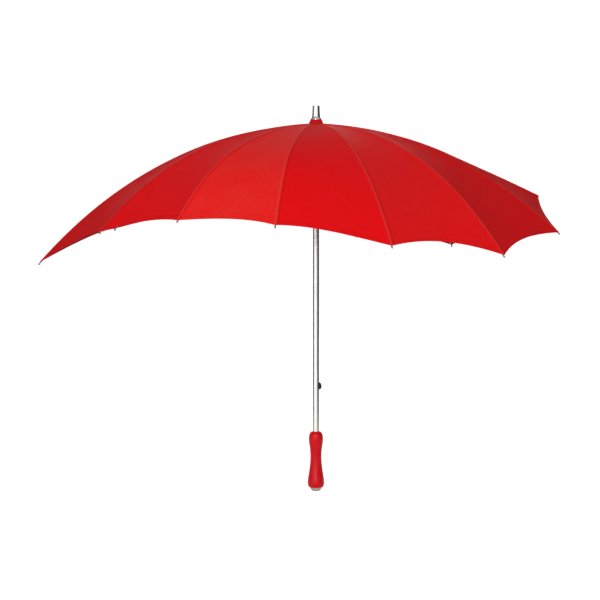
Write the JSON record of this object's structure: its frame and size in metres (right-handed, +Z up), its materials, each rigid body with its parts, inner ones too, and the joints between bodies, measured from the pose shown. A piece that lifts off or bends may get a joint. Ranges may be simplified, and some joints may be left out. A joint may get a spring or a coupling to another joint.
{
  "type": "stick umbrella",
  "caption": "Open stick umbrella with a heart-shaped scalloped canopy, metal shaft with spring catches, metal ferrule and a waisted straight handle.",
  "frame": {"origin": "middle of the flat under the handle's end cap, on the shaft's axis", "axes": "+Z up the shaft to the ferrule, -X to the heart's point, +X to its notch and the catches"},
  "size_m": [1.1553, 1.1274, 0.888],
  "materials": {
    "shaft": "satin drawn tube",
    "chrome": "polished",
    "end_cap": "pearl silver",
    "canopy_fabric": "plain woven pongee",
    "handle": "glossy lacquer",
    "black_plastic": "moulded",
    "catch": "black enamel",
    "steel": "zinc plated wire and leaf",
    "frame_steel": "zinc plated channel",
    "rib_tip_rod": "glass fibre rod"
  },
  "bodies": {
    "stick": {"shaft_tube": "shaft", "crown_notch": "black_plastic", "crown_wire": "steel", "ferrule": "chrome", "canopy_collar": "canopy_fabric", "handle_grip": "handle", "end_cap": "end_cap"},
    "runner": {"runner": "black_plastic", "runner_wire": "steel"},
    "top_catch": {"top_catch": "steel"},
    "bottom_catch": {"bottom_catch": "catch"},
    "rib_01": {"rib_01_inner": "frame_steel"},
    "rib_01_tip": {"rib_01_outer": "rib_tip_rod"},
    "stretcher_01": {"stretcher_01": "frame_steel"},
    "rib_02": {"rib_02_inner": "frame_steel", "canopy_panel_1": "canopy_fabric"},
    "rib_02_tip": {"rib_02_outer": "rib_tip_rod"},
    "stretcher_02": {"stretcher_02": "frame_steel"},
    "rib_03": {"rib_03_inner": "frame_steel"},
    "rib_03_tip": {"rib_03_outer": "rib_tip_rod"},
    "stretcher_03": {"stretcher_03": "frame_steel"},
    "rib_04": {"rib_04_inner": "frame_steel", "canopy_panel_2": "canopy_fabric"},
    "rib_04_tip": {"rib_04_outer": "rib_tip_rod"},
    "stretcher_04": {"stretcher_04": "frame_steel"},
    "rib_05": {"rib_05_inner": "frame_steel"},
    "rib_05_tip": {"rib_05_outer": "rib_tip_rod"},
    "stretcher_05": {"stretcher_05": "frame_steel"},
    "rib_06": {"rib_06_inner": "frame_steel", "canopy_panel_3": "canopy_fabric"},
    "rib_06_tip": {"rib_06_outer": "rib_tip_rod"},
    "stretcher_06": {"stretcher_06": "frame_steel"},
    "rib_07": {"rib_07_inner": "frame_steel"},
    "rib_07_tip": {"rib_07_outer": "rib_tip_rod"},
    "stretcher_07": {"stretcher_07": "frame_steel"},
    "rib_08": {"rib_08_inner": "frame_steel", "canopy_panel_4": "canopy_fabric"},
    "rib_08_tip": {"rib_08_outer": "rib_tip_rod"},
    "stretcher_08": {"stretcher_08": "frame_steel"},
    "rib_09": {"rib_09_inner": "frame_steel"},
    "rib_09_tip": {"rib_09_outer": "rib_tip_rod"},
    "stretcher_09": {"stretcher_09": "frame_steel"},
    "rib_10": {"rib_10_inner": "frame_steel", "canopy_panel_5": "canopy_fabric"},
    "rib_10_tip": {"rib_10_outer": "rib_tip_rod"},
    "stretcher_10": {"stretcher_10": "frame_steel"},
    "rib_11": {"rib_11_inner": "frame_steel"},
    "rib_11_tip": {"rib_11_outer": "rib_tip_rod"},
    "stretcher_11": {"stretcher_11": "frame_steel"},
    "rib_12": {"rib_12_inner": "frame_steel", "canopy_panel_6": "canopy_fabric"},
    "rib_12_tip": {"rib_12_outer": "rib_tip_rod"},
    "stretcher_12": {"stretcher_12": "frame_steel"},
    "rib_13": {"rib_13_inner": "frame_steel"},
    "rib_13_tip": {"rib_13_outer": "rib_tip_rod"},
    "stretcher_13": {"stretcher_13": "frame_steel"},
    "rib_14": {"rib_14_inner": "frame_steel", "canopy_panel_7": "canopy_fabric"},
    "rib_14_tip": {"rib_14_outer": "rib_tip_rod"},
    "stretcher_14": {"stretcher_14": "frame_steel"}
  },
  "joints": [
    {"name": "runner_slide", "type": "slide", "parent": "stick", "child": "runner", "axis": [0, 0, -1], "range_m": [0, 0.44394], "deforming": ["canopy_panel_1", "canopy_panel_2", "canopy_panel_3", "canopy_panel_4", "canopy_panel_5", "canopy_panel_6", "canopy_panel_7", "top_catch", "bottom_catch"]},
    {"name": "top_catch_press", "type": "slide", "parent": "stick", "child": "top_catch", "axis": [-1, 0, 0], "range_m": [0, 0.0058], "stiffness_N_per_m": 700},
    {"name": "bottom_catch_press", "type": "slide", "parent": "stick", "child": "bottom_catch", "axis": [-1, 0, 0], "range_m": [0, 0.0058], "stiffness_N_per_m": 700},
    {"name": "rib_01_hinge", "type": "hinge", "parent": "stick", "child": "rib_01", "pos_m": [-0.012, 0, 0.8417], "axis": [0, -1, 0], "range_deg": [0, 73.54]},
    {"name": "rib_01_flex", "type": "hinge", "parent": "rib_01", "child": "rib_01_tip", "pos_m": [-0.302, 0, 0.77501], "axis": [0, 1, 0], "range_deg": [0, 19.71]},
    {"name": "stretcher_01_hinge", "type": "hinge", "parent": "rib_01", "child": "stretcher_01", "pos_m": [-0.294, 0, 0.77407], "axis": [0, 1, 0], "range_deg": [0, 147.05]},
    {"name": "rib_02_hinge", "type": "hinge", "parent": "stick", "child": "rib_02", "pos_m": [-0.01081, -0.00521, 0.8417], "axis": [0.4339, -0.901, 0], "range_deg": [0, 73.54]},
    {"name": "rib_02_flex", "type": "hinge", "parent": "rib_02", "child": "rib_02_tip", "pos_m": [-0.2721, -0.13103, 0.77501], "axis": [-0.4339, 0.901, 0], "range_deg": [0, 20.03]},
    {"name": "stretcher_02_hinge", "type": "hinge", "parent": "rib_02", "child": "stretcher_02", "pos_m": [-0.26489, -0.12756, 0.77407], "axis": [-0.4339, 0.901, 0], "range_deg": [0, 147.05]},
    {"name": "rib_03_hinge", "type": "hinge", "parent": "stick", "child": "rib_03", "pos_m": [-0.00748, -0.00938, 0.8417], "axis": [0.7818, -0.6235, 0], "range_deg": [0, 73.54]},
    {"name": "rib_03_flex", "type": "hinge", "parent": "rib_03", "child": "rib_03_tip", "pos_m": [-0.1883, -0.23612, 0.77501], "axis": [-0.7818, 0.6235, 0], "range_deg": [0, 20.86]},
    {"name": "stretcher_03_hinge", "type": "hinge", "parent": "rib_03", "child": "stretcher_03", "pos_m": [-0.18331, -0.22986, 0.77407], "axis": [-0.7818, 0.6235, 0], "range_deg": [0, 147.05]},
    {"name": "rib_04_hinge", "type": "hinge", "parent": "stick", "child": "rib_04", "pos_m": [-0.00267, -0.0117, 0.8417], "axis": [0.9749, -0.2225, 0], "range_deg": [0, 73.54]},
    {"name": "rib_04_flex", "type": "hinge", "parent": "rib_04", "child": "rib_04_tip", "pos_m": [-0.0672, -0.29443, 0.77501], "axis": [-0.9749, 0.2225, 0], "range_deg": [0, 27.23]},
    {"name": "stretcher_04_hinge", "type": "hinge", "parent": "rib_04", "child": "stretcher_04", "pos_m": [-0.06542, -0.28663, 0.77407], "axis": [-0.9749, 0.2225, 0], "range_deg": [0, 147.05]},
    {"name": "rib_05_hinge", "type": "hinge", "parent": "stick", "child": "rib_05", "pos_m": [0.00267, -0.0117, 0.8417], "axis": [0.9749, 0.2225, 0], "range_deg": [0, 73.54]},
    {"name": "rib_05_flex", "type": "hinge", "parent": "rib_05", "child": "rib_05_tip", "pos_m": [0.0672, -0.29443, 0.77501], "axis": [-0.9749, -0.2225, 0], "range_deg": [0, 18.53]},
    {"name": "stretcher_05_hinge", "type": "hinge", "parent": "rib_05", "child": "stretcher_05", "pos_m": [0.06542, -0.28663, 0.77407], "axis": [-0.9749, -0.2225, 0], "range_deg": [0, 147.05]},
    {"name": "rib_06_hinge", "type": "hinge", "parent": "stick", "child": "rib_06", "pos_m": [0.00748, -0.00938, 0.8417], "axis": [0.7818, 0.6235, 0], "range_deg": [0, 73.54]},
    {"name": "rib_06_flex", "type": "hinge", "parent": "rib_06", "child": "rib_06_tip", "pos_m": [0.1883, -0.23612, 0.77501], "axis": [-0.7818, -0.6235, 0], "range_deg": [0, 20.2]},
    {"name": "stretcher_06_hinge", "type": "hinge", "parent": "rib_06", "child": "stretcher_06", "pos_m": [0.18331, -0.22986, 0.77407], "axis": [-0.7818, -0.6235, 0], "range_deg": [0, 147.05]},
    {"name": "rib_07_hinge", "type": "hinge", "parent": "stick", "child": "rib_07", "pos_m": [0.01081, -0.00521, 0.8417], "axis": [0.4339, 0.901, 0], "range_deg": [0, 73.54]},
    {"name": "rib_07_flex", "type": "hinge", "parent": "rib_07", "child": "rib_07_tip", "pos_m": [0.2721, -0.13103, 0.77501], "axis": [-0.4339, -0.901, 0], "range_deg": [0, 15.56]},
    {"name": "stretcher_07_hinge", "type": "hinge", "parent": "rib_07", "child": "stretcher_07", "pos_m": [0.26489, -0.12756, 0.77407], "axis": [-0.4339, -0.901, 0], "range_deg": [0, 147.05]},
    {"name": "rib_08_hinge", "type": "hinge", "parent": "stick", "child": "rib_08", "pos_m": [0.012, 0, 0.8417], "axis": [0, 1, 0], "range_deg": [0, 73.54]},
    {"name": "rib_08_flex", "type": "hinge", "parent": "rib_08", "child": "rib_08_tip", "pos_m": [0.302, 0, 0.77501], "axis": [0, -1, 0], "range_deg": [0, 6.47]},
    {"name": "stretcher_08_hinge", "type": "hinge", "parent": "rib_08", "child": "stretcher_08", "pos_m": [0.294, 0, 0.77407], "axis": [0, -1, 0], "range_deg": [0, 147.05]},
    {"name": "rib_09_hinge", "type": "hinge", "parent": "stick", "child": "rib_09", "pos_m": [0.01081, 0.00521, 0.8417], "axis": [-0.4339, 0.901, 0], "range_deg": [0, 73.54]},
    {"name": "rib_09_flex", "type": "hinge", "parent": "rib_09", "child": "rib_09_tip", "pos_m": [0.2721, 0.13103, 0.77501], "axis": [0.4339, -0.901, 0], "range_deg": [0, 15.56]},
    {"name": "stretcher_09_hinge", "type": "hinge", "parent": "rib_09", "child": "stretcher_09", "pos_m": [0.26489, 0.12756, 0.77407], "axis": [0.4339, -0.901, 0], "range_deg": [0, 147.05]},
    {"name": "rib_10_hinge", "type": "hinge", "parent": "stick", "child": "rib_10", "pos_m": [0.00748, 0.00938, 0.8417], "axis": [-0.7818, 0.6235, 0], "range_deg": [0, 73.54]},
    {"name": "rib_10_flex", "type": "hinge", "parent": "rib_10", "child": "rib_10_tip", "pos_m": [0.1883, 0.23612, 0.77501], "axis": [0.7818, -0.6235, 0], "range_deg": [0, 20.2]},
    {"name": "stretcher_10_hinge", "type": "hinge", "parent": "rib_10", "child": "stretcher_10", "pos_m": [0.18331, 0.22986, 0.77407], "axis": [0.7818, -0.6235, 0], "range_deg": [0, 147.05]},
    {"name": "rib_11_hinge", "type": "hinge", "parent": "stick", "child": "rib_11", "pos_m": [0.00267, 0.0117, 0.8417], "axis": [-0.9749, 0.2225, 0], "range_deg": [0, 73.54]},
    {"name": "rib_11_flex", "type": "hinge", "parent": "rib_11", "child": "rib_11_tip", "pos_m": [0.0672, 0.29443, 0.77501], "axis": [0.9749, -0.2225, 0], "range_deg": [0, 18.53]},
    {"name": "stretcher_11_hinge", "type": "hinge", "parent": "rib_11", "child": "stretcher_11", "pos_m": [0.06542, 0.28663, 0.77407], "axis": [0.9749, -0.2225, 0], "range_deg": [0, 147.05]},
    {"name": "rib_12_hinge", "type": "hinge", "parent": "stick", "child": "rib_12", "pos_m": [-0.00267, 0.0117, 0.8417], "axis": [-0.9749, -0.2225, 0], "range_deg": [0, 73.54]},
    {"name": "rib_12_flex", "type": "hinge", "parent": "rib_12", "child": "rib_12_tip", "pos_m": [-0.0672, 0.29443, 0.77501], "axis": [0.9749, 0.2225, 0], "range_deg": [0, 27.23]},
    {"name": "stretcher_12_hinge", "type": "hinge", "parent": "rib_12", "child": "stretcher_12", "pos_m": [-0.06542, 0.28663, 0.77407], "axis": [0.9749, 0.2225, 0], "range_deg": [0, 147.05]},
    {"name": "rib_13_hinge", "type": "hinge", "parent": "stick", "child": "rib_13", "pos_m": [-0.00748, 0.00938, 0.8417], "axis": [-0.7818, -0.6235, 0], "range_deg": [0, 73.54]},
    {"name": "rib_13_flex", "type": "hinge", "parent": "rib_13", "child": "rib_13_tip", "pos_m": [-0.1883, 0.23612, 0.77501], "axis": [0.7818, 0.6235, 0], "range_deg": [0, 20.86]},
    {"name": "stretcher_13_hinge", "type": "hinge", "parent": "rib_13", "child": "stretcher_13", "pos_m": [-0.18331, 0.22986, 0.77407], "axis": [0.7818, 0.6235, 0], "range_deg": [0, 147.05]},
    {"name": "rib_14_hinge", "type": "hinge", "parent": "stick", "child": "rib_14", "pos_m": [-0.01081, 0.00521, 0.8417], "axis": [-0.4339, -0.901, 0], "range_deg": [0, 73.54]},
    {"name": "rib_14_flex", "type": "hinge", "parent": "rib_14", "child": "rib_14_tip", "pos_m": [-0.2721, 0.13103, 0.77501], "axis": [0.4339, 0.901, 0], "range_deg": [0, 20.03]},
    {"name": "stretcher_14_hinge", "type": "hinge", "parent": "rib_14", "child": "stretcher_14", "pos_m": [-0.26489, 0.12756, 0.77407], "axis": [0.4339, 0.901, 0], "range_deg": [0, 147.05]}
  ],
  "couplings": [
    {"joint": "rib_01_hinge", "follows": "runner_slide", "rad_per_m": 2.8901},
    {"joint": "rib_01_flex", "follows": "runner_slide", "rad_per_m": 0.77376},
    {"joint": "stretcher_01_hinge", "follows": "runner_slide", "rad_per_m": 5.7803},
    {"joint": "rib_02_hinge", "follows": "runner_slide", "rad_per_m": 2.8901},
    {"joint": "rib_02_flex", "follows": "runner_slide", "rad_per_m": 0.78656},
    {"joint": "stretcher_02_hinge", "follows": "runner_slide", "rad_per_m": 5.7803},
    {"joint": "rib_03_hinge", "follows": "runner_slide", "rad_per_m": 2.8901},
    {"joint": "rib_03_flex", "follows": "runner_slide", "rad_per_m": 0.81928},
    {"joint": "stretcher_03_hinge", "follows": "runner_slide", "rad_per_m": 5.7803},
    {"joint": "rib_04_hinge", "follows": "runner_slide", "rad_per_m": 2.8901},
    {"joint": "rib_04_flex", "follows": "runner_slide", "rad_per_m": 1.0696},
    {"joint": "stretcher_04_hinge", "follows": "runner_slide", "rad_per_m": 5.7803},
    {"joint": "rib_05_hinge", "follows": "runner_slide", "rad_per_m": 2.8901},
    {"joint": "rib_05_flex", "follows": "runner_slide", "rad_per_m": 0.7276},
    {"joint": "stretcher_05_hinge", "follows": "runner_slide", "rad_per_m": 5.7803},
    {"joint": "rib_06_hinge", "follows": "runner_slide", "rad_per_m": 2.8901},
    {"joint": "rib_06_flex", "follows": "runner_slide", "rad_per_m": 0.79332},
    {"joint": "stretcher_06_hinge", "follows": "runner_slide", "rad_per_m": 5.7803},
    {"joint": "rib_07_hinge", "follows": "runner_slide", "rad_per_m": 2.8901},
    {"joint": "rib_07_flex", "follows": "runner_slide", "rad_per_m": 0.61059},
    {"joint": "stretcher_07_hinge", "follows": "runner_slide", "rad_per_m": 5.7803},
    {"joint": "rib_08_hinge", "follows": "runner_slide", "rad_per_m": 2.8901},
    {"joint": "rib_08_flex", "follows": "runner_slide", "rad_per_m": 0.25351},
    {"joint": "stretcher_08_hinge", "follows": "runner_slide", "rad_per_m": 5.7803},
    {"joint": "rib_09_hinge", "follows": "runner_slide", "rad_per_m": 2.8901},
    {"joint": "rib_09_flex", "follows": "runner_slide", "rad_per_m": 0.61059},
    {"joint": "stretcher_09_hinge", "follows": "runner_slide", "rad_per_m": 5.7803},
    {"joint": "rib_10_hinge", "follows": "runner_slide", "rad_per_m": 2.8901},
    {"joint": "rib_10_flex", "follows": "runner_slide", "rad_per_m": 0.79332},
    {"joint": "stretcher_10_hinge", "follows": "runner_slide", "rad_per_m": 5.7803},
    {"joint": "rib_11_hinge", "follows": "runner_slide", "rad_per_m": 2.8901},
    {"joint": "rib_11_flex", "follows": "runner_slide", "rad_per_m": 0.7276},
    {"joint": "stretcher_11_hinge", "follows": "runner_slide", "rad_per_m": 5.7803},
    {"joint": "rib_12_hinge", "follows": "runner_slide", "rad_per_m": 2.8901},
    {"joint": "rib_12_flex", "follows": "runner_slide", "rad_per_m": 1.0696},
    {"joint": "stretcher_12_hinge", "follows": "runner_slide", "rad_per_m": 5.7803},
    {"joint": "rib_13_hinge", "follows": "runner_slide", "rad_per_m": 2.8901},
    {"joint": "rib_13_flex", "follows": "runner_slide", "rad_per_m": 0.81928},
    {"joint": "stretcher_13_hinge", "follows": "runner_slide", "rad_per_m": 5.7803},
    {"joint": "rib_14_hinge", "follows": "runner_slide", "rad_per_m": 2.8901},
    {"joint": "rib_14_flex", "follows": "runner_slide", "rad_per_m": 0.78656},
    {"joint": "stretcher_14_hinge", "follows": "runner_slide", "rad_per_m": 5.7803}
  ]
}
